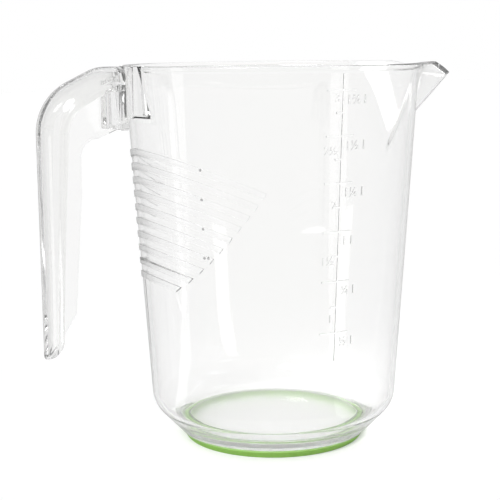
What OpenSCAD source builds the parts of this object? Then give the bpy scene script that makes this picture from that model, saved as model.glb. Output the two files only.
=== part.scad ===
// Clear plastic measuring jug of 1.75 litres, with a pointed spout, a bonded open
// handle and a soft anti-slip ring under its foot.
// The jug's axis is the Z axis and the table is z = 0. The spout points to +X, the
// handle to -X, and the measuring scale is on the -Y side.

/* [Vessel] */
// Height of the rim above the table
jug_h = 175.6; // [166:0.2:194]
// Outer radius of the wall at the rim
rim_r = 67.9; // [65:0.1:71]
// Outer radius of the wall just above the rounded lower corner
low_r = 57.9; // [55.5:0.1:60.5]
// Height at which the straight wall ends and the lower corner begins
corner_z = 21.9; // [19:0.1:25]
// Radius of the rounded lower corner
corner_r = 12.5; // [9.5:0.5:14.5]
// Thickness of the wall
wall_t = 2.3; // [1.9:0.1:2.9]
// Thickness of the floor
floor_t = 2.5; // [2:0.1:3.4]
// Radius inside, where the floor runs up into the lower corner
floor_fillet_r = 8; // [5:0.5:9.5]

/* [Rim] */
// Height of the lip round the rim
lip_h = 2.1; // [1.5:0.1:3.1]
// How far the lip stands out from the wall
lip_out = 0.7; // [0.4:0.1:1.2]

/* [Spout] */
// Distance from the rim's wall out to the tip of the spout
spout_out = 31.8; // [25:0.2:35.4]
// How far the tip lies below the rim
tip_drop = 5.9; // [3.2:0.1:8.4]
// Length over which the edge of the spout dips to the tip
dip_len = 8.8; // [6.2:0.2:12.4]
// Depth below the rim at which the keel of the spout leaves the wall
keel_drop = 37.6; // [31.6:0.2:47]
// Half of the spout's width where it leaves the rim
spout_half_w = 26.1; // [21:0.1:29]
// Rounding radius of the keel and the tip
keel_r = 3.1; // [2.6:0.1:4.1]
// Thickness of the spout's wall
spout_t = 2; // [1.7:0.1:2.3]

/* [Foot] */
// Outer radius of the clear foot, where it stands on the anti-slip ring
foot_r = 43.9; // [42.5:0.1:45.5]
// Width of the foot, from its outer edge to the hollow under the floor
foot_w = 3; // [2.8:0.1:4.6]
// Depth of the hollow under the floor, above the anti-slip ring
hollow_h = 4.1; // [2.6:0.1:5.2]

/* [Anti-slip ring] */
// Height of the ring that shows below the foot
ring_h = 2.9; // [2.3:0.1:3.7]
// How far the ring is set in from the foot's outer edge
ring_inset = 0.2; // [0.1:0.05:0.5]
// Width of the ring, from its outer to its inner side, where it meets the foot
ring_w = 4.4; // [4:0.1:5.4]
// How far the ring's outer side draws in towards the table, on the slope of the vessel
ring_lean = 1.8; // [1.2:0.1:2.3]
// Width of the tongue that holds the ring in the foot
tongue_w = 1; // [0.8:0.1:1.2]
// Height of the tongue
tongue_h = 1.6; // [1.2:0.1:2]
// Clearance round the tongue in its groove
tongue_gap = 0.1; // [0.05:0.05:0.2]
// Bevel on the ring's inner lower edge
ring_bevel = 0.4; // [0.3:0.1:0.8]

/* [Handle pad] */
// How far the face of the pad lies outside the rim's wall
pad_out = 3.8; // [2.8:0.2:4.8]
// Height of the pad, down from the rim
pad_h = 22.5; // [19:0.5:25]
// Half of the pad's width on its outer face
pad_half_w = 8.8; // [7.9:0.1:9.9]
// Half of the pad's width on the wall, at the top
pad_root_top_w = 10; // [9.4:0.1:11.4]
// Half of the pad's width on the wall, at the bottom
pad_root_low_w = 13.6; // [12:0.1:14.6]
// Half of the width of the tenon between the pad and the handle
tenon_half_w = 5.2; // [4.2:0.1:6.2]
// Depth to which the tenon enters the handle's root
tenon_depth = 2.3; // [1.6:0.1:2.7]
// Clearance round the tenon in the root, filled by the bond
bond_gap = 0.1; // [0.05:0.05:0.2]

/* [Handle] */
// Distance from the rim's wall out to the outside of the handle
handle_out = 44.4; // [39.8:0.2:50]
// Height of the handle's lower end above the table
handle_low_z = 48.9; // [38.5:0.1:58.5]
// Width of the handle's strap at the top
strap_top_w = 25; // [22:0.5:27]
// Width of the handle's strap at the bottom
strap_low_w = 19.2; // [15.8:0.2:20.8]
// Radius of the strap's crown across its width, and of the gentle bend where it leaves the rim
crown_r = 15.7; // [14.7:0.1:17.7]
// Thickness of the strap
strap_t = 2.1; // [1.9:0.1:2.7]
// Outer radius of the bend where the strap turns down
shoulder_r = 25; // [21:0.5:29]
// Angle at which the strap falls between its two bends
brow_angle = 25; // [18:1:32]
// Level length of the strap between the root plate and the gentle bend
brow_run = 3.6; // [2.2:0.2:5.6]

/* [Handle web and root] */
// Thickness of the web along the middle of the handle
web_t = 2.7; // [2.3:0.1:3.3]
// Depth of the handle from its outside to the web's inner edge, below the bend
grip_top_d = 19; // [17:0.2:20.8]
// Depth of the handle from its outside to the web's inner edge, at the bottom
grip_low_d = 14.8; // [12.6:0.2:16.4]
// Radius of the bend in the web's inner edge
web_bend_r = 8.4; // [6.4:0.2:11.4]
// Height of the sloping cut across the web's lower end
web_cut_h = 19; // [14.6:0.2:23]
// Gap between the pad and the root plate of the handle
root_gap = 2.7; // [2.1:0.1:3.1]
// Thickness of the root plate
root_t = 3.6; // [3.2:0.1:4.2]
// Width of the root plate
root_w = 21.9; // [19.9:0.5:23.9]
// Height of the root plate, down from the rim
root_h = 27.2; // [25.2:0.5:30.2]
// Radius of the fillets between the root plate and the web
root_fillet_r = 6.3; // [4.2:0.1:7.3]

/* [Grip ribs] */
// Count of raised ribs on the wall behind the handle
rib_count = 10; // [6:1:10]
// Distance in height between ribs, on the handle's side
rib_pitch = 6.3; // [5.8:0.05:7.1]
// Width of each rib
rib_w = 2.7; // [2.1:0.1:3.3]
// How far each rib stands out from the wall
rib_out = 0.5; // [0.3:0.05:0.8]
// Angle at which the ribs fall towards the spout
rib_angle = 24.8; // [18:0.2:32]
// Depth below the rim of the top rib, on the handle's side
rib_drop = 38.4; // [35.5:0.1:41.5]
// Reach of the top rib from the handle's side towards the spout, along its slope
rib_len = 36.9; // [33.5:0.1:43.5]
// Reach lost from one rib to the next below it
rib_step = 3.6; // [2.5:0.05:3.65]

/* [Scale] */
// Amount in the jug at the top mark, in cubic millimetres
full_volume = 1750000; // [1500000:50000:1750000]
// Count of long marks, the lowest at one share and the top one full
mark_count = 7; // [3:1:7]
// How far the lines of the scale stand out from the wall
mark_out = 0.35; // [0.2:0.05:0.6]
// Width of the lines of the scale
mark_w = 0.8; // [0.5:0.1:1.2]
// Angle from the spout round to the scale's upright line
scale_angle = 90.5; // [80:0.5:100]
// Length of a long mark, on the spout's side of the upright line
mark_right = 5.9; // [4.1:0.2:8.3]
// Length of a long mark, on the handle's side of the upright line
mark_left = 7.5; // [5.2:0.1:9.4]
// Length of a short mark
mark_short = 3.1; // [2.1:0.2:4.1]
// Depth below the rim of the upright line's upper end
line_top_drop = 3.1; // [2.5:0.2:6.3]
// Height of the upright line's lower end
line_low_z = 48; // [37:1:52]

/* [Dots] */
// Count of raised dots beside the ribs
dot_count = 4; // [3:1:4]
// Distance between dots, up the wall
dot_pitch = 12.7; // [10.5:0.1:13.5]
// Radius of a dot
dot_r = 0.7; // [0.5:0.05:1]
// How far a dot stands out from the wall
dot_out = 0.8; // [0.7:0.05:1]
// Angle from the spout round to the dots
dot_angle = 144.6; // [142:0.2:147]
// Depth below the rim of the top dot
dot_drop = 43.2; // [40:0.1:46]
// Angle between the two lowest dots, which are a pair
dot_pair_angle = 1.7; // [1.6:0.1:3]

/* [Hidden] */
$fn = 96;
arc_steps = 10;
over = 1;
half = 0.5;

// Straight wall, inside and out
wall_slope = (rim_r - low_r) / (jug_h - corner_z);
wall_angle = atan(wall_slope);
function wall_r(z) = low_r + (z - corner_z) * wall_slope;
function bore_r(z) = wall_r(z) - wall_t / cos(wall_angle);

// Lower corner: its centre, and the angle at which the chime runs off it to the foot
corner_c = [low_r - corner_r * cos(wall_angle), corner_z + corner_r * sin(wall_angle)];
foot_from_c = [foot_r, ring_h] - corner_c;
chime_angle = -atan2(foot_from_c[1], foot_from_c[0]) - acos(corner_r / norm(foot_from_c));
function reversed(list) = [for (i = [len(list) - 1:-1:0]) list[i]];
function on_arc(c, r, a) = c + r * [cos(a), sin(a)];
function arc(c, r, a0, a1) =
    [for (i = [0:arc_steps]) on_arc(c, r, a0 + (a1 - a0) * i / arc_steps)];

// Floor inside, and its fillet against the inner side of the chime
floor_under_z = ring_h + hollow_h;
floor_z = floor_under_z + floor_t;
chime_in = on_arc(corner_c, corner_r - wall_t, -chime_angle);
chime_foot_r = chime_in[0] - (chime_in[1] - floor_z) * tan(chime_angle);
fillet_half = (90 - chime_angle) * half;
fillet_c = [chime_foot_r - floor_fillet_r * tan(fillet_half), floor_z + floor_fillet_r];
inner_points = concat(
    arc(fillet_c, floor_fillet_r, -90, -chime_angle),
    arc(corner_c, corner_r - wall_t, -chime_angle, -wall_angle));

// Amount held below the straight wall, summed over slices of the inner profile
function slice_volume(a, b) =
    PI / 3 * (b[1] - a[1]) * (a[0] * a[0] + a[0] * b[0] + b[0] * b[0]);
function sum_to(list, last) = last < 0 ? 0 : list[last] + sum_to(list, last - 1);
profile_last = len(inner_points) - 1;
slices = [for (i = [0:profile_last - 1]) slice_volume(inner_points[i], inner_points[i + 1])];
low_volume = sum_to(slices, len(slices) - 1);
low_point = inner_points[profile_last];

// Height of the surface when the jug holds a given amount
function level_z(volume) = low_point[1] +
    (pow(pow(low_point[0], 3) + 3 * wall_slope * (volume - low_volume) / PI, 1 / 3)
     - low_point[0]) / wall_slope;

// Keel line of the spout, from the wall up to the tip, and the slant of its flat sides
spout_reach = rim_r + spout_out;
keel_low = [wall_r(jug_h - keel_drop), jug_h - keel_drop];
keel_high = [spout_reach, jug_h - tip_drop];
keel_run = norm(keel_high - keel_low);
keel_dir = (keel_high - keel_low) / keel_run;
keel_in = [-keel_dir[1], keel_dir[0]];
keel_c = keel_low + keel_in * keel_r;
crease_x = sqrt(rim_r * rim_r - spout_half_w * spout_half_w);
crease_in = ([crease_x, jug_h] - keel_c) * keel_in;
side_angle = atan2(spout_half_w, crease_in) - asin(keel_r / norm([crease_in, spout_half_w]));

// Groove for the anti-slip ring, in the middle of the foot
foot_in_r = foot_r - foot_w;
groove_mid_r = foot_r - foot_w * half;

// Root plate and tenon of the handle
pad_reach = rim_r + pad_out;
root_x = pad_reach + root_gap;
root_low_z = jug_h - root_h;
pad_low_z = jug_h - pad_h;
root_out_x = root_x + root_t;
tenon_low_z = pad_low_z - root_gap;
tenon_high_z = jug_h - lip_h - strap_t;

// Path of the strap's outside: level, a bend down, a straight fall, the shoulder, the leg
handle_reach = rim_r + handle_out;
brow_x = root_out_x + brow_run;
brow_c = [brow_x, jug_h - crown_r];
shoulder_x = handle_reach - shoulder_r;
brow_end = brow_c + crown_r * [sin(brow_angle), cos(brow_angle)];
shoulder_start_x = shoulder_x + shoulder_r * sin(brow_angle);
shoulder_start_z = brow_end[1] - (shoulder_start_x - brow_end[0]) * tan(brow_angle);
shoulder_c = [shoulder_x, shoulder_start_z - shoulder_r * cos(brow_angle)];
fall_len = norm([shoulder_start_x, shoulder_start_z] - brow_end);

// Straight runs stay a hair inside the bends that they join, and run a little way into them
run_in = strap_t / 4;
run_inset = bond_gap / 5;

// Rounded lower end of the strap
strap_end_r = strap_low_w * half;
strap_end_z = handle_low_z + strap_end_r;

// Outer side of the web, inside the strap, and its inner edge
web_out = strap_t * half;
grip_top_z = shoulder_c[1] - shoulder_r;
web_cut_z = handle_low_z + web_cut_h;
web_top_x = handle_reach - grip_top_d;
web_low_x = handle_reach - grip_low_d;
web_bend_c = [web_top_x - web_bend_r, root_low_z - root_t - web_bend_r];

// Revolves a profile of points in the radius and height plane
module turned(points) {
    rotate_extrude() polygon(points);
}

// Extrudes an outline drawn in X and Z, evenly to both sides of the XZ plane
module across(width) {
    translate([0, width * half, 0]) rotate([90, 0, 0]) linear_extrude(width) children();
}

// Wall, floor, lip and foot of the vessel, turned from one profile
module vessel() {
    lip_low_z = jug_h - lip_h - lip_out;
    groove_half_w = tongue_w * half + tongue_gap;
    groove_top_z = ring_h + tongue_h + tongue_gap;
    turned(concat(
        [[0, floor_under_z], [foot_in_r, floor_under_z], [foot_in_r, ring_h]],
        [[groove_mid_r - groove_half_w, ring_h], [groove_mid_r - groove_half_w, groove_top_z]],
        [[groove_mid_r + groove_half_w, groove_top_z], [groove_mid_r + groove_half_w, ring_h]],
        [[foot_r, ring_h]],
        arc(corner_c, corner_r, -chime_angle, -wall_angle),
        [[wall_r(lip_low_z), lip_low_z], [wall_r(jug_h - lip_h) + lip_out, jug_h - lip_h]],
        [[rim_r + lip_out, jug_h], [bore_r(jug_h), jug_h]],
        reversed(inner_points),
        [[0, floor_z]]));
}

// Room inside the vessel, out to the middle of its wall, clear of the joining features
module wall_core() {
    shift = wall_t * half;
    turned([
        [0, floor_z], [bore_r(corner_z) + shift, corner_z],
        [bore_r(jug_h + rim_r) + shift, jug_h + rim_r], [0, jug_h + rim_r]]);
}

// Trough of the spout, solid: a vee with a round keel, run from inside the wall past the tip
module spout_trough(r) {
    keel_arc = arc([0, 0], r, side_angle - 90, 90 - side_angle);
    top = keel_arc[arc_steps] + rim_r * [-cos(side_angle), sin(side_angle)];
    translate([keel_c[0], 0, keel_c[1]])
        rotate([0, atan2(keel_dir[0], keel_dir[1]), 0])
            translate([0, 0, -dip_len])
                linear_extrude(keel_run + dip_len * 2)
                    polygon(concat([[top[0], -top[1]]], keel_arc, [top]));
}

// All that lies above the edge of the spout, lowered by a depth
module above_edge(depth) {
    fall = tip_drop / dip_len;
    far_x = spout_reach + dip_len;
    far_z = jug_h - (far_x - spout_reach + dip_len) * fall - depth;
    across(rim_r * 2)
        polygon([
            [0, jug_h - depth],
            [spout_reach - dip_len, jug_h - depth],
            [far_x, far_z],
            [far_x, jug_h + rim_r],
            [0, jug_h + rim_r]]);
}

// Lip along the edge of the spout
module spout_lip() {
    intersection() {
        spout_trough(keel_r + lip_out);
        above_edge(lip_h);
    }
}

// Pad on the wall that carries the handle, wider towards the wall and the bottom
module handle_pad() {
    pad_mid_x = wall_r(pad_low_z) - wall_t * half;
    rotate([0, 0, 180]) intersection() {
        translate([0, 0, pad_low_z])
            linear_extrude(pad_h)
                polygon([
                    [pad_mid_x, -pad_root_low_w], [pad_reach, -pad_half_w],
                    [pad_reach, pad_half_w], [pad_mid_x, pad_root_low_w]]);
        rotate([90, 0, 90])
            linear_extrude(pad_reach)
                polygon([
                    [-pad_root_low_w, pad_low_z], [pad_root_low_w, pad_low_z],
                    [pad_root_top_w, jug_h], [-pad_root_top_w, jug_h]]);
    }
}

// Side outline of the tenon, its underside cut back to the pad
module tenon_outline(grow) {
    reach = root_x + tenon_depth + grow;
    polygon([
        [pad_reach - root_gap, tenon_high_z + grow], [reach, tenon_high_z + grow],
        [reach, tenon_low_z - grow], [pad_reach - root_gap, pad_low_z + root_gap * half - grow]]);
}

// Tenon that stands out of the pad and is bonded into the handle
module tenon(grow) {
    rotate([0, 0, 180]) across((tenon_half_w + grow) * 2) tenon_outline(grow);
}

// Skin between the wall and a height above it, to cut raised features from
module skin(height, low_z, high_z) {
    turned([
        [bore_r(low_z) + wall_t * half, low_z],
        [wall_r(low_z) + height, low_z],
        [wall_r(high_z) + height, high_z],
        [bore_r(high_z) + wall_t * half, high_z]]);
}

// Raised grip ribs behind the handle, falling towards the spout, shorter one by one
module grip_ribs() {
    top_z = jug_h - rib_drop;
    intersection() {
        skin(rib_out, top_z - rib_count * rib_pitch - rib_w, top_z + rib_w);
        for (i = [0:rib_count - 1])
            let (z = top_z - i * rib_pitch)
                translate([-wall_r(z), 0, z])
                    rotate([0, rib_angle, 0])
                        translate([-rim_r, -rim_r, -rib_w * half])
                            cube([rim_r + rib_len - i * rib_step, rim_r * 2, rib_w]);
    }
}

// One line of the scale, as a bar through the wall from one place round it to another
module scale_bar(low_z, high_z, from, to) {
    turn = 180 / PI / wall_r(low_z);
    rotate([0, 0, -scale_angle + (from + to) * half * turn])
        translate([0, -(to - from) * half, low_z])
            cube([rim_r * 2, to - from, high_z - low_z]);
}

// Measuring scale: the upright line, a long mark at each share and a short one between
module scale_marks() {
    step = full_volume / mark_count;
    line_high_z = jug_h - line_top_drop;
    intersection() {
        skin(mark_out, line_low_z, line_high_z);
        union() {
            scale_bar(line_low_z - over, line_high_z + over, -mark_w * half, mark_w * half);
            for (i = [2:mark_count])
                let (z = level_z(i * step))
                    scale_bar(z - mark_w * half, z + mark_w * half, -mark_left, mark_right);
            for (i = [2:mark_count - 1])
                let (z = level_z((i + half) * step))
                    scale_bar(z - mark_w * half, z + mark_w * half, -mark_short, 0);
        }
    }
}

// One raised dot on the wall
module dot(z, angle) {
    rotate([0, 0, -angle])
        translate([wall_r(z) - wall_t * half, 0, z])
            rotate([0, 90, 0])
                cylinder(r = dot_r, h = wall_t * half + dot_out);
}

// Raised dots beside the ribs, the lowest one doubled
module dots() {
    top_z = jug_h - dot_drop;
    for (i = [0:dot_count - 1])
        dot(top_z - i * dot_pitch, dot_angle);
    dot(top_z - (dot_count - 1) * dot_pitch, dot_angle - dot_pair_angle);
}

// Clear vessel, moulded in one with its spout, pad, tenon, ribs, scale and dots
module jug_body() {
    color([0.93, 0.95, 0.95, 0.4]) difference() {
        union() {
            vessel();
            difference() {
                union() {
                    spout_trough(keel_r);
                    spout_lip();
                    handle_pad();
                    tenon(0);
                }
                wall_core();
                above_edge(0);
            }
            grip_ribs();
            scale_marks();
            dots();
        }
        spout_trough(keel_r - spout_t);
    }
}

// Cross-section of the strap, a thin arc whose crown touches x = at, drawn in by an inset
module strap_section(at, inset) {
    width = strap_top_w - inset * 2;
    intersection() {
        translate([at - crown_r, 0]) difference() {
            circle(crown_r - inset);
            circle(crown_r - strap_t + inset);
        }
        translate([at - crown_r, -width * half]) square([crown_r, width]);
    }
}

// Bend of the strap about a centre in the XZ plane, from one fall angle to another
module strap_bend(c, r, from, to) {
    translate([c[0], 0, c[1]])
        rotate([0, to - 90, 0])
            rotate([90, 0, 0])
                rotate_extrude(angle = to - from) strap_section(r, 0);
}

// Straight run of the strap from a point on its outside, at a fall angle, on into its bends
module strap_run(from, angle, length, back) {
    translate([from[0], 0, from[1]])
        rotate([0, 90 + angle, 0])
            translate([0, 0, -back])
                linear_extrude(length + back + run_in)
                    rotate([0, 0, 180]) strap_section(0, run_inset);
}

// Front outline of the leg: it narrows downwards and ends in a half round
module leg_outline() {
    polygon([
        [-strap_top_w * half, shoulder_c[1] + run_in], [-strap_end_r, strap_end_z],
        [strap_end_r, strap_end_z], [strap_top_w * half, shoulder_c[1] + run_in]]);
    translate([0, strap_end_z]) circle(strap_end_r);
}

// Leg of the strap, which the fingers go round
module strap_leg() {
    intersection() {
        translate([0, 0, handle_low_z])
            linear_extrude(shoulder_c[1] + run_in - handle_low_z)
                strap_section(handle_reach, run_inset);
        rotate([90, 0, 90]) linear_extrude(handle_reach + over) leg_outline();
    }
}

// Side outline of the web, from the root along inside the strap to the lower end
module web_outline() {
    out_x = handle_reach - web_out;
    polygon(concat(
        [[root_x + root_t * half, jug_h - web_out]],
        [[brow_x, jug_h - web_out]],
        arc(shoulder_c, shoulder_r - web_out, 90 - brow_angle, 0),
        [[out_x, handle_low_z + web_out], [out_x - web_out * 2, handle_low_z + web_out]],
        [[web_low_x, web_cut_z], [web_top_x, grip_top_z]],
        arc(web_bend_c, web_bend_r, 0, 90),
        [[root_x + root_t * half, root_low_z]]));
}

// Root plate, with a crowned top that follows the strap
module root_plate() {
    rotate([90, 0, 90]) translate([0, 0, root_x]) linear_extrude(root_t) intersection() {
        translate([-root_w * half, root_low_z]) square([root_w, root_h]);
        union() {
            translate([0, jug_h - crown_r]) circle(crown_r);
            translate([-root_w * half, root_low_z]) square([root_w, root_h - crown_r]);
        }
    }
}

// Fillets between the root plate and the two sides of the web
module root_fillets() {
    fillet_h = root_h - strap_t * 2 - lip_h;
    for (side = [0, 1]) mirror([0, side, 0])
        translate([root_out_x, web_t * half, root_low_z])
            linear_extrude(fillet_h) difference() {
                translate([-over, -over])
                    square([root_fillet_r + over, root_fillet_r + over]);
                translate([root_fillet_r, root_fillet_r]) circle(root_fillet_r);
            }
}

// Handle, moulded in one: a crowned strap, a web along its middle and the root plate
module handle() {
    color([0.9, 0.93, 0.93, 0.5]) difference() {
        rotate([0, 0, 180]) {
            strap_run([root_x + root_t * half, jug_h], 0, brow_x - root_x - root_t * half, 0);
            strap_bend(brow_c, crown_r, 0, brow_angle);
            strap_run(brow_end, brow_angle, fall_len, run_in);
            strap_bend(shoulder_c, shoulder_r, brow_angle, 90);
            strap_leg();
            across(web_t) web_outline();
            root_plate();
            root_fillets();
        }
        tenon(bond_gap);
    }
}

// Soft ring under the foot, with a tongue that is pressed up into the foot's groove
module anti_slip_ring() {
    out_r = foot_r - ring_inset;
    in_r = out_r - ring_w;
    color([0.48, 0.72, 0.27]) turned([
        [in_r + ring_bevel, 0], [out_r - ring_lean, 0], [out_r, ring_h],
        [groove_mid_r + tongue_w * half, ring_h],
        [groove_mid_r + tongue_w * half, ring_h + tongue_h],
        [groove_mid_r - tongue_w * half, ring_h + tongue_h],
        [groove_mid_r - tongue_w * half, ring_h],
        [in_r, ring_h], [in_r, ring_bevel]]);
}

jug_body();
handle();
anti_slip_ring();
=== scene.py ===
import math

import bmesh
import bpy
from mathutils import Matrix, Vector


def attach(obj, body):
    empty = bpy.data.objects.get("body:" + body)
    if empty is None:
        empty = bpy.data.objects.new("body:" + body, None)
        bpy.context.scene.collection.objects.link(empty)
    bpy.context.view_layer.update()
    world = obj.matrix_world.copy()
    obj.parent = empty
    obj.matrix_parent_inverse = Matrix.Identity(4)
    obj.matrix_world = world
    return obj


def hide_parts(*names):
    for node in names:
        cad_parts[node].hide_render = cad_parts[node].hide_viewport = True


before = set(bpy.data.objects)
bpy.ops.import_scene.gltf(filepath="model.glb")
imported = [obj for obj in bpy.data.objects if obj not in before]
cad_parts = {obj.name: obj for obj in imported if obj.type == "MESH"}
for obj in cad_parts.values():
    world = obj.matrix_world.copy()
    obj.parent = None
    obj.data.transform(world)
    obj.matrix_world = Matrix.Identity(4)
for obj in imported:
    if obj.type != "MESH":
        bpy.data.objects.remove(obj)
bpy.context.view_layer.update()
mm = 0.001  # all lengths in the dictionaries are millimetres
hair = 0.01  # what lies closer than this is in the same place
print("frame loaded:", ", ".join(sorted(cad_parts)))


def deselectAll():
    for thing in bpy.context.selected_objects:
        thing.select_set(False)
    bpy.context.view_layer.objects.active = None


def pick(piece):
    deselectAll()
    piece.select_set(True)
    bpy.context.view_layer.objects.active = piece


def editAll(piece):
    pick(piece)
    bpy.ops.object.mode_set(mode="EDIT")
    bpy.ops.mesh.select_mode(type="VERT")
    bpy.ops.mesh.select_all(action="SELECT")


def leaveEdit():
    bpy.ops.object.mode_set(mode="OBJECT")


def closeShell():
    # turns all faces outwards and leaves edit mode
    bpy.ops.mesh.select_all(action="SELECT")
    bpy.ops.mesh.normals_make_consistent(inside=False)
    leaveEdit()


def drawLine(name, points, filled=False):
    # one vertex, extruded from point to point
    deselectAll()
    bpy.ops.mesh.primitive_plane_add(size=mm)
    piece = bpy.context.object
    piece.name = name
    editAll(piece)
    bpy.ops.mesh.merge(type="CENTER")
    spots = [Vector(p) * mm for p in points]
    bpy.ops.transform.translate(value=spots[0])
    for here, there in zip(spots, spots[1:]):
        bpy.ops.mesh.extrude_region_move(TRANSFORM_OT_translate={"value": there - here})
    if filled:
        bpy.ops.mesh.select_all(action="SELECT")
        bpy.ops.mesh.edge_face_add()
    leaveEdit()
    return piece


def extrudeFace(piece, move):
    editAll(piece)
    bpy.ops.mesh.extrude_region_move(TRANSFORM_OT_translate={"value": Vector(move) * mm})
    closeShell()
    return piece


def turn(piece, steps, touching=0.002):
    # a profile in x and z, spun once round the jug's axis
    editAll(piece)
    bpy.ops.mesh.spin(steps=steps, angle=math.tau, center=(0, 0, 0), axis=(0, 0, 1))
    bpy.ops.mesh.select_all(action="SELECT")
    bpy.ops.mesh.remove_doubles(threshold=touching * mm)
    closeShell()
    return piece


def cutAway(piece, point, normal):
    # removes what lies on the side that the normal points to, and closes the cut
    editAll(piece)
    bpy.ops.mesh.bisect(plane_co=Vector(point) * mm, plane_no=Vector(normal).normalized(),
                        use_fill=True, clear_outer=True)
    leaveEdit()


def bevelWhere(piece, test, width, segments=3, crease=0.3):
    # bevels the creased edges whose two ends both pass the test, given in millimetres
    pick(piece)
    bpy.ops.object.mode_set(mode="EDIT")
    bpy.ops.mesh.select_mode(type="EDGE")
    bpy.ops.mesh.select_all(action="DESELECT")
    mesh = bmesh.from_edit_mesh(piece.data)
    for edge in mesh.edges:
        if len(edge.link_faces) == 2 and edge.calc_face_angle() > crease:
            edge.select_set(all(test(v.co / mm) for v in edge.verts))
    bmesh.update_edit_mesh(piece.data)
    bpy.ops.mesh.bevel(offset=width * mm, segments=segments, affect="EDGES", profile=0.5)
    leaveEdit()


def combine(piece, other, how="UNION"):
    pick(piece)
    step = piece.modifiers.new("combine", "BOOLEAN")
    step.operation, step.solver, step.object = how, "MANIFOLD", other
    bpy.ops.object.modifier_apply(modifier=step.name)
    bpy.data.objects.remove(other)


def joinAll(pieces):
    deselectAll()
    for piece in pieces:
        piece.select_set(True)
    bpy.context.view_layer.objects.active = pieces[0]
    bpy.ops.object.join()
    return pieces[0]


def arc(centre, radius, start, end, steps):
    # points on an arc in two axes, angles in degrees
    turns = [math.radians(start + (end - start) * i / steps) for i in range(steps + 1)]
    return [(centre[0] + radius * math.cos(a), centre[1] + radius * math.sin(a)) for a in turns]


def inXZ(points):
    return [(x, 0, z) for x, z in points]


def smooth(piece, angle=30):
    # rounded shading that leaves the large faces flat
    editAll(piece)
    bpy.ops.mesh.select_all(action="DESELECT")
    bpy.ops.mesh.select_mode(type="FACE")
    bpy.ops.mesh.select_face_by_sides(number=4, type="GREATER")
    bpy.ops.mesh.quads_convert_to_tris(ngon_method="BEAUTY")
    leaveEdit()
    bpy.ops.object.shade_smooth_by_angle(angle=math.radians(angle))
    step = piece.modifiers.new("weigh", "WEIGHTED_NORMAL")
    step.keep_sharp = True
    bpy.ops.object.modifier_apply(modifier=step.name)


# the vessel is one closed profile: outside, rim and inside; each round is (out, up) points
vessel = {
    "height": 175.6, "rimRadius": 67.9, "lowRadius": 57.9, "cornerHeight": 21.9,
    "cornerRadius": 12.5, "wall": 2.3, "floor": 2.5, "floorFillet": 8,
    "lipHeight": 2.1, "lipOut": 0.7, "rimRound": 0.7,
    "footRadius": 43.9, "footWidth": 3, "hollow": 4.1, "footHeight": 2.9,
    "grooveHalf": 0.6, "grooveTop": 4.6, "hollowRound": 0.4, "footRoundIn": 0.2,
    "footRound": ((-0.5, 0), (-0.15, 0.1), (0.25, 0.3)),
    "steps": 256, "cornerSteps": 16, "filletSteps": 10, "rimSteps": 5,
}
spout = {
    "reach": 98.6, "tipDrop": 6.2, "dip": 21, "dipCurve": 1.1, "dipRounds": 12,
    "keelDrop": 37.6, "halfAngle": 31.1, "keelRound": 0.026, "keelRoundIn": 0.014,
    "blendLow": 6, "blendHigh": 13, "wall": 1.8, "lipFade": 12,
    "start": 121, "rows": 24, "gather": 1.5, "far": 70, "farFade": 35,
}

height, footHeight = vessel["height"], vessel["footHeight"]
wallSlope = (vessel["rimRadius"] - vessel["lowRadius"]) / (height - vessel["cornerHeight"])
wallAngle = math.degrees(math.atan(wallSlope))
wallLean = math.radians(wallAngle)


def wallRadius(z):
    return vessel["lowRadius"] + (z - vessel["cornerHeight"]) * wallSlope


def boreRadius(z):
    return wallRadius(z) - vessel["wall"] / math.cos(wallLean)


def midWall(z):
    return boreRadius(z) + vessel["wall"] / 2


# the lower corner is an arc between the wall and a slanting chime over the foot
corner = vessel["cornerRadius"]
cornerX = vessel["lowRadius"] - corner * math.cos(wallLean)
cornerZ = vessel["cornerHeight"] + corner * math.sin(wallLean)
footX, footZ = vessel["footRadius"] - cornerX, footHeight - cornerZ
chimeAngle = math.degrees(-math.atan2(footZ, footX) - math.acos(corner / math.hypot(footX, footZ)))
chime = math.radians(chimeAngle)
floorUnder = footHeight + vessel["hollow"]
floorTop = floorUnder + vessel["floor"]

# close rows where the spout will be pulled out
lipLow = height - vessel["lipHeight"] - vessel["lipOut"]
rows = [spout["start"] + (lipLow - spout["start"]) * i / spout["rows"]
        for i in range(spout["rows"] + 1)]

footIn = vessel["footRadius"] - vessel["footWidth"]
grooveMid = vessel["footRadius"] - vessel["footWidth"] / 2
grooveIn, grooveOut = grooveMid - vessel["grooveHalf"], grooveMid + vessel["grooveHalf"]
outside = [
    (0, floorUnder), (footIn - vessel["hollowRound"], floorUnder),
    (footIn, floorUnder - vessel["hollowRound"]),
    (footIn, footHeight + vessel["footRoundIn"]), (footIn + vessel["footRoundIn"], footHeight),
    (grooveIn, footHeight), (grooveIn, vessel["grooveTop"]),
    (grooveOut, vessel["grooveTop"]), (grooveOut, footHeight),
]
outside += [(vessel["footRadius"] + x, footHeight + z) for x, z in vessel["footRound"]]
outside += arc((cornerX, cornerZ), corner, -chimeAngle, -wallAngle, vessel["cornerSteps"])
outside += [(wallRadius(z), z) for z in rows]
lipEdge = height - vessel["lipHeight"]
outside += [(wallRadius(lipEdge) + vessel["lipOut"], lipEdge)]

# inside, from the middle of the floor out and up
cornerIn, floorRound = corner - vessel["wall"], vessel["floorFillet"]
chimeIn = (cornerX + cornerIn * math.cos(chime), cornerZ - cornerIn * math.sin(chime))
chimeFoot = chimeIn[0] - (chimeIn[1] - floorTop) * math.tan(chime)
filletX = chimeFoot - floorRound * math.tan(math.radians((90 - chimeAngle) / 2))
curved = arc((filletX, floorTop + floorRound), floorRound, -90, -chimeAngle,
             vessel["filletSteps"])
curved += arc((cornerX, cornerZ), cornerIn, -chimeAngle, -wallAngle, vessel["cornerSteps"])
inside = [(0, floorTop)] + curved + [(boreRadius(z), z) for z in rows]

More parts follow.
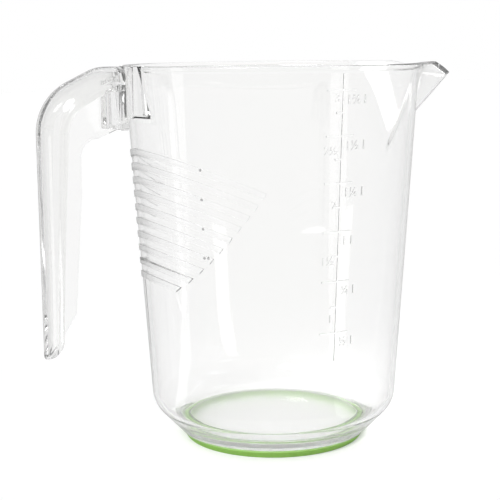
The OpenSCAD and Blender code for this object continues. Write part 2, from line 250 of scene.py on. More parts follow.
r = vessel["rimRound"]
rim = arc((vessel["rimRadius"] + vessel["lipOut"] - r, height - r), r, 0, 90, vessel["rimSteps"])
rim += arc((boreRadius(height) + r, height - r), r, 90, 180, vessel["rimSteps"])
body = turn(drawLine("jugBody", inXZ(outside + rim + inside[::-1])), vessel["steps"])
print("vessel turned")

# the spout: the upper rows are pulled out to a rounded keel and blend softly into the wall
keelFoot = (wallRadius(height - spout["keelDrop"]), height - spout["keelDrop"])
keelLean = (spout["reach"] - keelFoot[0]) / (height - spout["tipDrop"] - keelFoot[1])
skew = math.sqrt(1 + keelLean ** 2)


def swell(angle, z, base, inset, tight):
    # the larger of the round wall and the vee of the spout, with a soft blend between the two
    keel = keelFoot[0] + (z - keelFoot[1]) * keelLean - inset
    side = math.radians(spout["halfAngle"])
    spread = min(side + math.hypot(angle, tight), math.pi / 2)
    vee = keel * math.sin(side + tight) / math.sin(spread)
    share = (z - spout["start"]) / (height - spout["start"])
    blend = spout["blendLow"] + (spout["blendHigh"] - spout["blendLow"]) * share
    # the back of the jug stays round
    fade = min(max((spout["far"] - math.degrees(angle)) / spout["farFade"], 0), 1)
    near = max(blend - abs(vee - base), 0) / blend * fade * fade * (3 - 2 * fade)
    return max(vee, base) + near ** 2 * blend / 4


def outerAt(angle, z):
    return swell(abs(angle), z, wallRadius(z), 0, spout["keelRound"])


def innerAt(angle, z):
    return swell(abs(angle), z, boreRadius(z), spout["wall"] * skew, spout["keelRoundIn"])


def edgeDrop(angle):
    # how far the rim dips towards the tip
    drop = 0
    for _ in range(spout["dipRounds"]):
        out = outerAt(angle, height - drop) * math.cos(angle)
        share = min(max((out - spout["reach"] + spout["dip"]) / spout["dip"], 0), 1)
        drop = spout["tipDrop"] * share ** spout["dipCurve"]
    return drop


for v in body.data.vertices:
    x, y, z = v.co / mm
    around, reach = math.atan2(y, x), math.hypot(x, y)
    if reach < 1:
        continue
    # columns are drawn together towards the keel
    around = math.copysign(math.pi * (abs(around) / math.pi) ** spout["gather"], around)
    if z > spout["start"] - hair:
        share = (reach - boreRadius(z)) / (wallRadius(z) - boreRadius(z))
        high = min((z - spout["start"]) / (lipLow - spout["start"]), 1)
        z -= edgeDrop(around) * high ** 2
        thick = outerAt(around, z) - innerAt(around, z)
        # the lip fades out along the spout
        fade = max(1 - (outerAt(around, z) - wallRadius(z)) / spout["lipFade"], 0)
        reach = innerAt(around, z) + min(share, 1) * thick + max(share - 1, 0) * thick * fade
    v.co = Vector((reach * math.cos(around), reach * math.sin(around), z)) * mm
print("spout pulled out")

# pad and tenon that carry the handle
pad = {
    "reach": 71.7, "height": 22.5, "halfWidth": 8.8, "topHalf": 10, "lowHalf": 13.6,
    "belowRim": 0.03, "round": 0.6, "roundBand": 0.5, "coreSpare": 20,
    "tenonHalf": 5.2, "tenonDepth": 2.3, "tenonDrop": 2.1, "gap": 0.1,
}
handleRoot = {
    "gap": 2.7, "thick": 3.6, "width": 21.9, "height": 27.2, "fillet": 6.3, "round": 0.5,
    "crownBelow": 0.05, "crownSteps": 12, "filletSteps": 8, "filletIn": 0.5, "filletLift": 0.3,
}

rootX = pad["reach"] + handleRoot["gap"]
padLow = height - pad["height"]
padMid = wallRadius(padLow) - vessel["wall"] / 2
padBlock = drawLine("pad", [
    (-padMid, -pad["lowHalf"], padLow), (-pad["reach"], -pad["halfWidth"], padLow),
    (-pad["reach"], pad["halfWidth"], padLow), (-padMid, pad["lowHalf"], padLow),
], filled=True)
extrudeFace(padBlock, (0, 0, pad["height"] - pad["belowRim"]))
narrow = pad["lowHalf"] - pad["topHalf"]
for side in (-1, 1):
    cutAway(padBlock, (0, side * pad["lowHalf"], padLow), (0, side * pad["height"], narrow))


def onPadEdge(p):
    # the front, and the underside where it stands out of the wall
    front = p.x < pad["roundBand"] - pad["reach"]
    under = p.z < padLow + hair and p.x < -padMid - pad["roundBand"]
    return front or under


bevelWhere(padBlock, onPadEdge, pad["round"])
coreLow, coreHigh = padLow - pad["coreSpare"], height + pad["coreSpare"]
core = turn(drawLine("core", inXZ([
    (0, coreLow), (midWall(coreLow), coreLow), (midWall(coreHigh), coreHigh), (0, coreHigh),
])), vessel["steps"])
combine(padBlock, core, "DIFFERENCE")
combine(body, padBlock)

tenonHigh = lipEdge - pad["tenonDrop"]
tenonLow = padLow - handleRoot["gap"]


def tenon(name, grow):
    half = pad["tenonHalf"] + grow
    far = rootX + pad["tenonDepth"] + grow
    near = pad["reach"] - handleRoot["gap"]
    block = drawLine(name, [
        (-near, -half, tenonHigh + grow), (-far, -half, tenonHigh + grow),
        (-far, -half, tenonLow - grow), (-near, -half, padLow + handleRoot["gap"] / 2 - grow),
    ], filled=True)
    return extrudeFace(block, (0, half * 2, 0))


combine(body, tenon("tenon", 0))
print("pad and tenon joined")

# grip ribs behind the handle, cut out of a turned skin
ribs = {
    "count": 10, "pitch": 6.3, "width": 2.7, "out": 0.5, "angle": 24.8, "drop": 38.4,
    "length": 36.9, "shorter": 3.6, "round": 0.3, "roundBand": 0.05,
    "skinBelow": 30, "skinAbove": 12, "skinFront": -15,
}

ribTop = height - ribs["drop"]
low = ribTop - ribs["count"] * ribs["pitch"] - ribs["skinBelow"]
high = ribTop + ribs["skinAbove"]
ribSkin = turn(drawLine("ribSkin", inXZ([
    (midWall(low), low), (wallRadius(low) + ribs["out"], low),
    (wallRadius(high) + ribs["out"], high), (midWall(high), high), (midWall(low), low),
])), vessel["steps"])
cutAway(ribSkin, (ribs["skinFront"], 0, 0), (1, 0, 0))
slope = math.radians(ribs["angle"])
along = Vector((math.cos(slope), 0, -math.sin(slope)))
across = Vector((math.sin(slope), 0, math.cos(slope)))


def onRibEdge(p):
    return math.hypot(p.x, p.y) > wallRadius(p.z) + ribs["out"] - ribs["roundBand"]


ribPieces = []
for i in range(ribs["count"]):
    z = ribTop - i * ribs["pitch"]
    rib = ribSkin.copy()
    rib.data = ribSkin.data.copy()
    bpy.context.collection.objects.link(rib)
    middle = Vector((-wallRadius(z), 0, z))
    cutAway(rib, middle + across * ribs["width"] / 2, across)
    cutAway(rib, middle - across * ribs["width"] / 2, -across)
    cutAway(rib, middle + along * (ribs["length"] - i * ribs["shorter"]), along)
    bevelWhere(rib, onRibEdge, ribs["round"])
    ribPieces.append(rib)
bpy.data.objects.remove(ribSkin)
combine(body, joinAll(ribPieces))
print("ribs joined")

# measuring scale: lines, numerals and dots, laid out flat and wrapped on the wall
scale = {
    "litres": 1.75, "marks": 7, "first": 2, "out": 0.35, "width": 0.8, "angle": 90.5,
    "round": 0.6, "bend": 1.6, "right": 5.9, "left": 7.5, "short": 3.1, "low": 48, "high": 172.5,
    "numeralOut": 0.3, "numeralIn": 0.5, "touching": 0.001,
    "litreSize": 5.6, "litreRight": 1.4, "litreDrop": 4.2,
    "pint": 0.5683, "pintSize": 5, "pintLeft": 1.6,
}
dots = {
    "count": 4, "pitch": 12.7, "radius": 0.7, "out": 0.8, "sunk": 1, "round": 0.6, "steps": 16,
    "angle": 144.6, "high": 132.4, "pairAngle": 1.7,
}


def heldBelow(profile):
    # amount held under the straight wall, slice by slice, in cubic millimetres
    return sum(math.pi / 3 * (z1 - z0) * (r0 * r0 + r0 * r1 + r1 * r1)
               for (r0, z0), (r1, z1) in zip(profile, profile[1:]))


lowAmount = heldBelow(curved)


def levelHeight(litres):
    r, z = curved[-1]
    cube = r ** 3 + 3 * wallSlope * (litres * 1e6 - lowAmount) / math.pi
    return z + (cube ** (1 / 3) - r) / wallSlope


def wrapOnWall(piece, angle):
    # x runs round the wall from the given angle, z is height and y stands out of the wall
    for v in piece.data.vertices:
        x, y, z = v.co / mm
        turned = math.radians(-angle) + x / wallRadius(z)
        reach = wallRadius(z) + y
        v.co = Vector((reach * math.cos(turned), reach * math.sin(turned), z)) * mm
    editAll(piece)
    closeShell()
    return piece


def flatBar(left, right, low, high):
    # a bar with a rounded face, cut into short lengths so that it can bend with the wall
    deselectAll()
    bpy.ops.mesh.primitive_cube_add(size=1)
    bar = bpy.context.object
    bar.name = "bar"
    out = scale["out"]
    depth = out + vessel["wall"] / 2
    for v in bar.data.vertices:
        v.co = Vector(((left + right) / 2 + v.co.x * (right - left),
                       out - depth / 2 + v.co.y * depth,
                       (low + high) / 2 + v.co.z * (high - low))) * mm
    bevelWhere(bar, lambda p: p.y > out - hair, out * scale["round"], 2)
    steps = round((right - left) / scale["bend"])
    for i in range(1, steps):
        cut = left + (right - left) * i / steps
        editAll(bar)
        bpy.ops.mesh.bisect(plane_co=(cut * mm, 0, 0), plane_no=(1, 0, 0))
        leaveEdit()
    return bar


half = scale["width"] / 2
bars = [flatBar(-half, half, scale["low"], scale["high"])]
step = scale["litres"] / scale["marks"]
for i in range(scale["first"], scale["marks"] + 1):
    z = levelHeight(i * step)
    bars.append(flatBar(-scale["left"], scale["right"], z - half, z + half))
    if i < scale["marks"]:
        z = levelHeight((i + 0.5) * step)
        bars.append(flatBar(-scale["short"], 0, z - half, z + half))
for bar in bars:
    combine(body, wrapOnWall(bar, scale["angle"]))
print("scale joined")


def numeral(text, x, z, size, align):
    deselectAll()
    bpy.ops.object.text_add(rotation=(math.radians(90), 0, 0))
    word = bpy.context.object
    word.data.body = text
    word.data.align_x, word.data.align_y = align, "CENTER"
    word.data.size = size * mm
    word.data.resolution_u = 3
    word.data.extrude = (scale["numeralOut"] + scale["numeralIn"]) / 2 * mm
    bpy.ops.object.convert(target="MESH")
    bpy.ops.object.transform_apply(location=True, rotation=True, scale=True)
    editAll(word)
    bpy.ops.mesh.remove_doubles(threshold=scale["touching"] * mm)
    leaveEdit()
    for v in word.data.vertices:
        v.co.y = (scale["numeralOut"] if v.co.y < 0 else -scale["numeralIn"]) * mm
        v.co.x += x * mm
        v.co.z += z * mm
    return wrapOnWall(word, scale["angle"])


# a quarter, a half and three quarters are single signs
litreText = ["\u00bd l", "\u00be l", "1 l", "1\u00bc l", "1\u00bd l", "1\u00be l"]
pintText = ["1", "1\u00bd", "2", "2\u00bd", "3"]
for i, text in enumerate(litreText):
    z = levelHeight((i + scale["first"]) * step) - scale["litreDrop"]
    combine(body, numeral(text, scale["litreRight"], z, scale["litreSize"], "LEFT"))
for i, text in enumerate(pintText):
    z = levelHeight((i + 2) * scale["pint"] / 2)
    combine(body, numeral(text, -scale["pintLeft"], z, scale["pintSize"], "RIGHT"))
print("numerals joined")

# the lowest dot has a second one beside it
dotPlaces = [(i, 0) for i in range(dots["count"])] + [(dots["count"] - 1, -dots["pairAngle"])]
for i, turned in dotPlaces:
    z = dots["high"] - i * dots["pitch"]
    deselectAll()
    bpy.ops.mesh.primitive_cylinder_add(vertices=dots["steps"], radius=dots["radius"] * mm,
                                        depth=(dots["out"] + dots["sunk"]) * mm,
                                        rotation=(math.radians(90), 0, 0))
    dot = bpy.context.object
    bpy.ops.object.transform_apply(location=True, rotation=True, scale=True)
    for v in dot.data.vertices:
        v.co.y = (dots["out"] if v.co.y < 0 else -dots["sunk"]) * mm
        v.co.z += z * mm
    bevelWhere(dot, lambda p: p.y > dots["out"] - hair, dots["out"] * dots["round"], 2)
    combine(body, wrapOnWall(dot, dots["angle"] + turned))
print("dots joined")
smooth(body)

# the relief and the underside of the floor are matt from the mould, and the dots are dark
mould = {
    "least": 0.04, "belowRim": 4, "scaleTurn": 12, "back": -20, "belowPad": 4.7,
    "overRibs": 0.05, "reliefMatt": 1, "underMatt": 2.5, "underSpare": 0.1,
}
matt = body.data.attributes.new("matt", "FLOAT", "FACE")
shade = body.data.attributes.new("shade", "FLOAT", "FACE")
for face in body.data.polygons:
    x, y, z = face.center / mm
    reach, turned = math.hypot(x, y), math.degrees(math.atan2(y, x))
    proud = reach - wallRadius(z)
    raised = proud > mould["least"] and z < height - mould["belowRim"]
    onScale = raised and abs(turned + scale["angle"]) < mould["scaleTurn"]
    behind = raised and x < mould["back"] and z < padLow - mould["belowPad"]
    onDot = behind and proud > ribs["out"] + mould["overRibs"]
    if onScale or behind and not onDot:
        matt.data[face.index].value = mould["reliefMatt"]
    if z < floorUnder + hair and reach < footIn + mould["underSpare"]:
        matt.data[face.index].value = mould["underMatt"]
    if onDot:
        shade.data[face.index].value = 1

# the handle: a crowned strap, a web along its middle and a root plate
handle = {
    "reach": 112.3, "lowEnd": 48.9, "topWidth": 25, "lowWidth": 19.2, "crown": 15.7, "thick": 2.1,
    "shoulder": 25, "browAngle": 25, "browRun": 3.6, "round": 0.7, "endTurn": 84,
    "crownSteps": 12, "browSteps": 6, "shoulderSteps": 18, "legSteps": 12, "endSteps": 12,
}
webPlate = {
    "thick": 2.7, "top": 19, "low": 14.8, "bend": 8.4, "cut": 19, "round": 0.9,
    "roundSpare": 0.2, "roundBelow": 5, "shoulderSteps": 12, "bendSteps": 8,
}

rootOut = rootX + handleRoot["thick"]
rootMid = rootX + handleRoot["thick"] / 2
rootLow = height - handleRoot["height"]
crown, shoulder = handle["crown"], handle["shoulder"]
browX = rootOut + handle["browRun"]
browZ = height - crown
shoulderX = handle["reach"] - shoulder
browTurn = math.radians(handle["browAngle"])
browEnd = (browX + crown * math.sin(browTurn), browZ + crown * math.cos(browTurn))
fallStartX = shoulderX + shoulder * math.sin(browTurn)
fallStartZ = browEnd[1] - (fallStartX - browEnd[0]) * math.tan(browTurn)
shoulderZ = fallStartZ - shoulder * math.cos(browTurn)
endRadius = handle["lowWidth"] / 2
endZ = handle["lowEnd"] + endRadius


def strapSection(x, z, lean, halfWidth):
    # closed ring of points: the crown, two rounded edges and the hollow under the crown
    inner = crown - handle["thick"]
    outTurn = math.asin(halfWidth / crown)
    inTurn = math.asin(min(halfWidth / inner, 0.999))
    edgeOut = crown * (1 - math.cos(outTurn))
    edgeIn = crown - inner * math.cos(inTurn)
    r = min(handle["round"], halfWidth * 0.45)
    outTurn *= 1 - r / halfWidth
    inTurn *= 1 - r / halfWidth
    edge = [(halfWidth - r * 0.3, edgeOut - r * 0.1), (halfWidth, edgeOut + r * 0.7),
            (halfWidth, edgeIn - r * 0.7), (halfWidth - r * 0.3, edgeIn - r * 0.05)]
    steps = handle["crownSteps"]
    over, under = [], []
    for i in range(steps + 1):
        a = -outTurn + 2 * outTurn * i / steps
        over.append((crown * math.sin(a), crown * (1 - math.cos(a))))
        a = inTurn - 2 * inTurn * i / steps
        under.append((inner * math.sin(a), crown - inner * math.cos(a)))
    ring = over + edge + under + [(-y, d) for y, d in reversed(edge)]
    return [(-(x - d * math.sin(lean)), y, z - d * math.cos(lean)) for y, d in ring]


# stations from the root over the brow and the shoulder, down the leg and round its end
wide = handle["topWidth"] / 2
stations = [(rootMid, height, 0, wide), (browX, height, 0, wide)]
for i in range(1, handle["browSteps"] + 1):
    a = browTurn * i / handle["browSteps"]
    stations.append((browX + crown * math.sin(a), browZ + crown * math.cos(a), a, wide))
for i in range(handle["shoulderSteps"] + 1):
    a = browTurn + (math.pi / 2 - browTurn) * i / handle["shoulderSteps"]
    stations.append((shoulderX + shoulder * math.sin(a), shoulderZ + shoulder * math.cos(a),
                     a, wide))
for i in range(1, handle["legSteps"] + 1):
    share = i / handle["legSteps"]
    stations.append((handle["reach"], shoulderZ + (endZ - shoulderZ) * share, math.pi / 2,
                     wide + (endRadius - wide) * share))
for i in range(1, handle["endSteps"] + 1):
    a = math.radians(handle["endTurn"]) * i / handle["endSteps"]
    stations.append((handle["reach"], endZ - endRadius * math.sin(a), math.pi / 2,
                     endRadius * math.cos(a)))

rings = [strapSection(*s) for s in stations]
grip = drawLine("handle_clear", rings[0], filled=True)
editAll(grip)
for here, there in zip(rings, rings[1:]):
    # the last ring is extruded in place and its points are moved on to the next station
    bpy.ops.mesh.extrude_region_move()
    mesh = bmesh.from_edit_mesh(grip.data)
    spots = [Vector(p) * mm for p in here]
    for v in [v for v in mesh.verts if v.select]:
        nearest = min(range(len(spots)), key=lambda k: (spots[k] - v.co).length_squared)
        v.co = Vector(there[nearest]) * mm
    bmesh.update_edit_mesh(grip.data)
closeShell()
print("strap drawn")

webOut = handle["thick"] / 2
webEdge = handle["reach"] - webOut
webTopX = handle["reach"] - webPlate["top"]
webLowX = handle["reach"] - webPlate["low"]
webCutZ = handle["lowEnd"] + webPlate["cut"]
webOutline = [(rootMid, height - webOut), (browX, height - webOut)]
webOutline += arc((shoulderX, shoulderZ), shoulder - webOut, 90 - handle["browAngle"], 0,
                  webPlate["shoulderSteps"])
webOutline += [
    (webEdge, handle["lowEnd"] + webOut), (webEdge - webOut * 2, handle["lowEnd"] + webOut),
    (webLowX, webCutZ), (webTopX, shoulderZ - shoulder),
]
webOutline += arc((webTopX - webPlate["bend"], rootLow - handleRoot["thick"] - webPlate["bend"]),
                  webPlate["bend"], 0, 90, webPlate["bendSteps"])
webOutline += [(rootMid, rootLow + hair)]
web = drawLine("web", [(-x, -webPlate["thick"] / 2, z) for x, z in webOutline], filled=True)
extrudeFace(web, (0, webPlate["thick"], 0))


def onWebEdge(p):
    # the edge towards the fingers
    inner = p.x > -webLowX - webPlate["roundSpare"] or p.z < webCutZ
    return inner and p.x < -rootOut and p.z < height - webPlate["roundBelow"]


bevelWhere(web, onWebEdge, webPlate["round"])
combine(grip, web)

# the root plate, its crown a hair below the strap's
rootHalf = handleRoot["width"] / 2
plateCrown = crown - handleRoot["crownBelow"]
rise = math.degrees(math.acos(rootHalf / plateCrown))
plateTop = arc((0, browZ), plateCrown, rise, 180 - rise, handleRoot["crownSteps"])
plate = drawLine("rootPlate", [(-rootX, -rootHalf, rootLow), (-rootX, rootHalf, rootLow)]
                 + [(-rootX, y, z) for y, z in plateTop], filled=True)
extrudeFace(plate, (-handleRoot["thick"], 0, 0))
bevelWhere(plate, lambda p: True, handleRoot["round"], 2)
combine(grip, plate)

# fillets between the plate and both sides of the web
filletRun = handleRoot["height"] - handle["thick"] * 2 - vessel["lipHeight"]
r, sunk, base = handleRoot["fillet"], handleRoot["filletIn"], webPlate["thick"] / 2
curve = arc((rootOut + r, base + r), r, -90, -180, handleRoot["filletSteps"])
corners = [(rootOut - sunk, base - sunk), (rootOut + r, base - sunk)] + curve
corners += [(rootOut - sunk, base + r)]
for side in (-1, 1):
    fillet = drawLine("fillet", [(-x, side * y, rootLow + handleRoot["filletLift"])
                                 for x, y in corners], filled=True)
    extrudeFace(fillet, (0, 0, filletRun))
    combine(grip, fillet)
combine(grip, tenon("pocket", pad["gap"]), "DIFFERENCE")
smooth(grip)
print("handle joined")

# the anti-slip ring, with a tongue that stands in the foot's groove
ring = {
    "inset": 0.2, "width": 4.4, "lean": 1.8, "tongueHalf": 0.5, "tongue": 1.6, "steps": 192,
    "roundOut": ((-0.25, 0), (0.05, 0.12), (0.22, 0.35)),
    "roundIn": ((0, 0.4), (0.12, 0.12), (0.4, 0)),
}

ringOut = vessel["footRadius"] - ring["inset"]
ringIn = ringOut - ring["width"]
tongueTop = footHeight + ring["tongue"]
tongueIn, tongueOut = grooveMid - ring["tongueHalf"], grooveMid + ring["tongueHalf"]
edgeIn = [(ringIn + x, z) for x, z in ring["roundIn"]]
ringProfile = [edgeIn[-1]] + [(ringOut - ring["lean"] + x, z) for x, z in ring["roundOut"]] + [
    (ringOut, footHeight), (tongueOut, footHeight), (tongueOut, tongueTop),
    (tongueIn, tongueTop), (tongueIn, footHeight), (ringIn, footHeight),
] + edgeIn
softRing = turn(drawLine("antiSlipRing", inXZ(ringProfile)), ring["steps"])
smooth(softRing)
print("ring turned")


def newMaterial(name):
    material = bpy.data.materials.new(name)
    material.use_nodes = True
    return material, material.node_tree.nodes, material.node_tree.links


def grey(tone):
    return (tone, tone, tone, 1)


def clearPlastic(name, look):
    material, nodes, links = newMaterial(name)
    shader = nodes["Principled BSDF"]
    shader.inputs["Transmission Weight"].default_value = 1
    shader.inputs["IOR"].default_value = look["ior"]
    # painted shade: the colour greys where the skin is seen edge-on, for the dark edges that clear
    # plastic shows
    facing = nodes.new("ShaderNodeLayerWeight")
    facing.inputs["Blend"].default_value = 0.5
    edge = nodes.new("ShaderNodeValToRGB")
    edge.color_ramp.elements[0].color = (*look["tint"], 1)
    edge.color_ramp.elements[1].color = grey(look["paintedEdgeShade"])
    for place, tone in look["edge"]:
        edge.color_ramp.elements.new(place).color = grey(tone)
    links.new(facing.outputs["Facing"], edge.inputs["Fac"])
    # the painted edge shade is left off where the mould is textured, which stays pale
    texture = nodes.new("ShaderNodeAttribute")
    texture.attribute_name = "matt"
    pale = nodes.new("ShaderNodeMix")
    pale.data_type = "RGBA"
    pale.inputs["B"].default_value = grey(1)
    links.new(texture.outputs["Fac"], pale.inputs["Factor"])
    links.new(edge.outputs["Color"], pale.inputs["A"])
    # the small dots are darker
    spot = nodes.new("ShaderNodeAttribute")
    spot.attribute_name = "shade"
    dark = nodes.new("ShaderNodeMix")
    dark.data_type = "RGBA"
    dark.inputs["B"].default_value = grey(look["dotTone"])
    links.new(spot.outputs["Fac"], dark.inputs["Factor"])
    links.new(pale.outputs["Result"], dark.inputs["A"])
    links.new(dark.outputs["Result"], shader.inputs["Base Color"])
    # faint wipe marks in the gloss, and matt where the mould is textured
    where = nodes.new("ShaderNodeTexCoord")
    haze = nodes.new("ShaderNodeTexNoise")
    haze.inputs["Scale"].default_value = look["smudgeScale"]
    haze.inputs["Detail"].default_value = 6
    links.new(where.outputs["Object"], haze.inputs["Vector"])
    spread = nodes.new("ShaderNodeMapRange")
    spread.inputs["To Min"].default_value = look["gloss"]
    spread.inputs["To Max"].default_value = look["smudge"]
    links.new(haze.outputs["Fac"], spread.inputs["Value"])
    frost = nodes.new("ShaderNodeMath")
    frost.operation = "MULTIPLY_ADD"
    frost.inputs[1].default_value = look["frost"]
    links.new(texture.outputs["Fac"], frost.inputs[0])
    links.new(spread.outputs["Result"], frost.inputs[2])
    links.new(frost.outputs["Value"], shader.inputs["Roughness"])
    # the slow waves of a moulded wall
    wave = nodes.new("ShaderNodeTexNoise")
    wave.inputs["Scale"].default_value = look["waveScale"]
    wave.inputs["Detail"].default_value = 1
    links.new(where.outputs["Object"], wave.inputs["Vector"])
    bump = nodes.new("ShaderNodeBump")
    bump.inputs["Strength"].default_value = look["waveStrength"]
    bump.inputs["Distance"].default_value = look["wave"] * mm
    links.new(wave.outputs["Fac"], bump.inputs["Height"])
    links.new(bump.outputs["Normal"], shader.inputs["Normal"])
    # thick parts turn grey
    smoke = nodes.new("ShaderNodeVolumeAbsorption")
    smoke.inputs["Color"].default_value = grey(0)
    smoke.inputs["Density"].default_value = look["density"]
    out = nodes["Material Output"]
    links.new(smoke.outputs["Volume"], out.inputs["Volume"])
    # lamps shine through
    path = nodes.new("ShaderNodeLightPath")
    through = nodes.new("ShaderNodeBsdfTransparent")
    through.inputs["Color"].default_value = grey(look["shadowTone"])
    mix = nodes.new("ShaderNodeMixShader")
    links.new(path.outputs["Is Shadow Ray"], mix.inputs["Fac"])
    links.new(shader.outputs["BSDF"], mix.inputs[1])
    links.new(through.outputs["BSDF"], mix.inputs[2])
    links.new(mix.outputs["Shader"], out.inputs["Surface"])
    return material


def greenRubber(name, look):
    material, nodes, links = newMaterial(name)
    shader = nodes["Principled BSDF"]
    shader.inputs["Roughness"].default_value = look["roughness"]
    # a fine grain in colour and relief
    where = nodes.new("ShaderNodeTexCoord")
    grain = nodes.new("ShaderNodeTexNoise")
    grain.inputs["Scale"].default_value = look["grainScale"]
    links.new(where.outputs["Object"], grain.inputs["Vector"])
    tone = nodes.new("ShaderNodeValToRGB")
    tone.color_ramp.elements[0].color = (*look["deep"], 1)
    tone.color_ramp.elements[1].color = (*look["bright"], 1)
    links.new(grain.outputs["Fac"], tone.inputs["Fac"])
    links.new(tone.outputs["Color"], shader.inputs["Base Color"])
    bump = nodes.new("ShaderNodeBump")
    bump.inputs["Strength"].default_value = look["grainStrength"]
    bump.inputs["Distance"].default_value = look["grain"] * mm
    links.new(grain.outputs["Fac"], bump.inputs["Height"])
    links.new(bump.outputs["Normal"], shader.inputs["Normal"])
    return material


def dress(piece, material, node):
    piece.data.materials.clear()
    piece.data.materials.append(material)
    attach(piece, "root")
    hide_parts(node)


# edge: painted edge shade, as (how far the skin turns away, tone)
plastic = {
    "tint": (0.99, 0.99, 0.985), "paintedEdgeShade": 0.4,
    "edge": ((0.45, 0.98), (0.67, 0.95), (0.8, 0.87), (0.9, 0.7)),
    "ior": 1.53, "gloss": 0.01, "smudge": 0.05, "smudgeScale": 35, "frost": 0.22,
    "wave": 0.02, "waveScale": 28, "waveStrength": 0.25,
    "dotTone": 0.25, "density": 7, "shadowTone": 0.93,
}
# the handle gets a darker painted edge shade and denser absorption
strapPlastic = dict(plastic, density=14, paintedEdgeShade=0.3,
                    edge=((0.45, 0.965), (0.67, 0.88), (0.8, 0.7), (0.9, 0.45)))
rubber = {
    "deep": (0.29, 0.58, 0.09), "bright": (0.37, 0.68, 0.14), "roughness": 0.55,
    "grain": 0.05, "grainScale": 900, "grainStrength": 0.2,
}
dress(body, clearPlastic("clearBody", plastic), "jug_body")
dress(grip, clearPlastic("clearHandle", strapPlastic), "handle")
dress(softRing, greenRubber("greenRubber", rubber), "anti_slip_ring")
print("materials set")

# bands: name, heading and width in degrees, nearest and farthest reach
studio = {
    "floorSize": 8000, "floorTone": 0.66, "floorRoughness": 0.9, "floorSpecular": 0.1,
    "floorLift": 0.36, "floorMirrored": 0.02, "worldLevel": 0.55, "mirrored": 0.68,
    "sunHeading": 215, "sunHeight": 48, "sunSoft": 25, "sunPower": 1.8,
    "bandGlow": 2.5, "bandLift": 1,
    "bands": [("bandRight", -64.3, 15, 75, 3500), ("bandLeft", 167, 11, 75, 3500)],
}


def seenDirectly(nodes, links, mirrored):
    # one for what is seen straight or through the plastic, less for what it mirrors,
    # and zero for light on the object
    path = nodes.new("ShaderNodeLightPath")
    last = path.outputs["Is Camera Ray"]
    for kind, share in (("Is Transmission Ray", 1), ("Is Glossy Ray", mirrored)):
        part = nodes.new("ShaderNodeMath")
        part.operation = "MULTIPLY"
        part.inputs[1].default_value = share
        links.new(path.outputs[kind], part.inputs[0])
        more = nodes.new("ShaderNodeMath")
        more.operation = "MAXIMUM"
        links.new(last, more.inputs[0])
        links.new(part.outputs["Value"], more.inputs[1])
        last = more.outputs["Value"]
    return last


deselectAll()
bpy.ops.mesh.primitive_plane_add(size=studio["floorSize"] * mm)
floor = bpy.context.object
floor.name = "floor"
material, nodes, links = newMaterial("floorPaper")
shader = nodes["Principled BSDF"]
shader.inputs["Base Color"].default_value = grey(studio["floorTone"])
shader.inputs["Roughness"].default_value = studio["floorRoughness"]
shader.inputs["Specular IOR Level"].default_value = studio["floorSpecular"]
glow = nodes.new("ShaderNodeEmission")
lift = nodes.new("ShaderNodeMath")
lift.operation = "MULTIPLY"
lift.inputs[1].default_value = studio["floorLift"]
links.new(seenDirectly(nodes, links, studio["floorMirrored"]), lift.inputs[0])
links.new(lift.outputs["Value"], glow.inputs["Strength"])
both = nodes.new("ShaderNodeAddShader")
links.new(shader.outputs["BSDF"], both.inputs[0])
links.new(glow.outputs["Emission"], both.inputs[1])
links.new(both.outputs["Shader"], nodes["Material Output"].inputs["Surface"])
floor.data.materials.append(material)

# the world is white where it is seen, and dimmer where it lights the object
scene = bpy.context.scene
world = bpy.data.worlds.new("studio")
scene.world = world
world.use_nodes = True
nodes, links = world.node_tree.nodes, world.node_tree.links
background = nodes["Background"]
background.inputs["Color"].default_value = grey(1)
path = nodes.new("ShaderNodeLightPath")
level = nodes.new("ShaderNodeMath")
level.operation = "MAXIMUM"
diffuse = nodes.new("ShaderNodeMath")
diffuse.operation = "MULTIPLY"
diffuse.inputs[1].default_value = studio["worldLevel"]
links.new(path.outputs["Is Diffuse Ray"], diffuse.inputs[0])
links.new(seenDirectly(nodes, links, studio["mirrored"]), level.inputs[0])
links.new(diffuse.outputs["Value"], level.inputs[1])
links.new(level.outputs["Value"], background.inputs["Strength"])

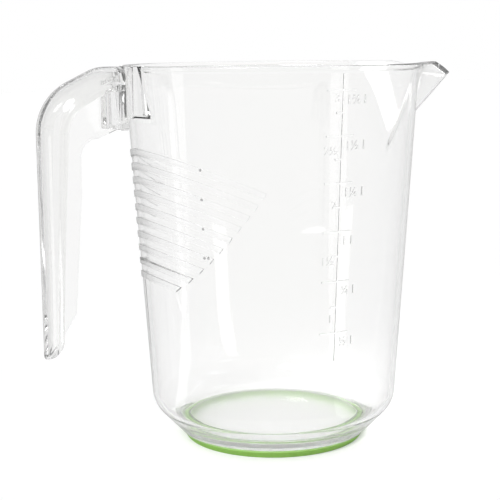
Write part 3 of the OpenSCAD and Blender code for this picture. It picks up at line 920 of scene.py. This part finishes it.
# a wide soft light from the left, in front of the jug
lamp = bpy.data.lights.new("key", "SUN")
lamp.energy, lamp.angle = studio["sunPower"], math.radians(studio["sunSoft"])
key = bpy.data.objects.new("key", lamp)
scene.collection.objects.link(key)
key.rotation_euler = (0, math.radians(90 - studio["sunHeight"]), math.radians(studio["sunHeading"]))

# two bright bands on the floor, seen only through the plastic, give the pale strips in the wall
shine, nodes, links = newMaterial("bandLight")
lit = nodes.new("ShaderNodeEmission")
lit.inputs["Strength"].default_value = studio["bandGlow"]
links.new(lit.outputs["Emission"], nodes["Material Output"].inputs["Surface"])
for name, heading, width, near, far in studio["bands"]:
    corners = []
    for reach, side in ((near, -1), (far, -1), (far, 1), (near, 1)):
        turned = math.radians(heading + side * width / 2)
        corners.append((reach * math.cos(turned), reach * math.sin(turned), studio["bandLift"]))
    band = drawLine(name, corners, filled=True)
    band.data.materials.append(shine)
    band.visible_camera = band.visible_diffuse = False
    band.visible_glossy = band.visible_shadow = False

# clear plastic in clear plastic: rays cross many surfaces before they leave
bounces = 32
scene.cycles.max_bounces = scene.cycles.glossy_bounces = bounces
scene.cycles.transmission_bounces = scene.cycles.transparent_max_bounces = bounces
scene.view_settings.view_transform = "Standard"

# the camera, with heading and pitch in degrees and its clip range in metres
shot = {
    "place": (-265.3, -519.7, 187.2), "heading": 26.0, "pitch": 9.62, "roll": -0.55,
    "lens": 90, "sensor": 36, "clip": (0.01, 30),
}
eye = bpy.data.cameras.new("camera")
eye.lens, eye.sensor_width = shot["lens"], shot["sensor"]
eye.clip_start, eye.clip_end = shot["clip"]
camera = bpy.data.objects.new("camera", eye)
scene.collection.objects.link(camera)
heading, pitch = math.radians(shot["heading"]), math.radians(shot["pitch"])
forward = Vector((math.sin(heading) * math.cos(pitch), math.cos(heading) * math.cos(pitch),
                  -math.sin(pitch)))
right = Vector((math.cos(heading), -math.sin(heading), 0))
up = right.cross(forward)
facing = Matrix((right, up, -forward)).transposed()
roll = Matrix.Rotation(math.radians(shot["roll"]), 3, "Z")
camera.matrix_world = Matrix.Translation(Vector(shot["place"]) * mm) @ (facing @ roll).to_4x4()
scene.camera = camera
print("stage set")
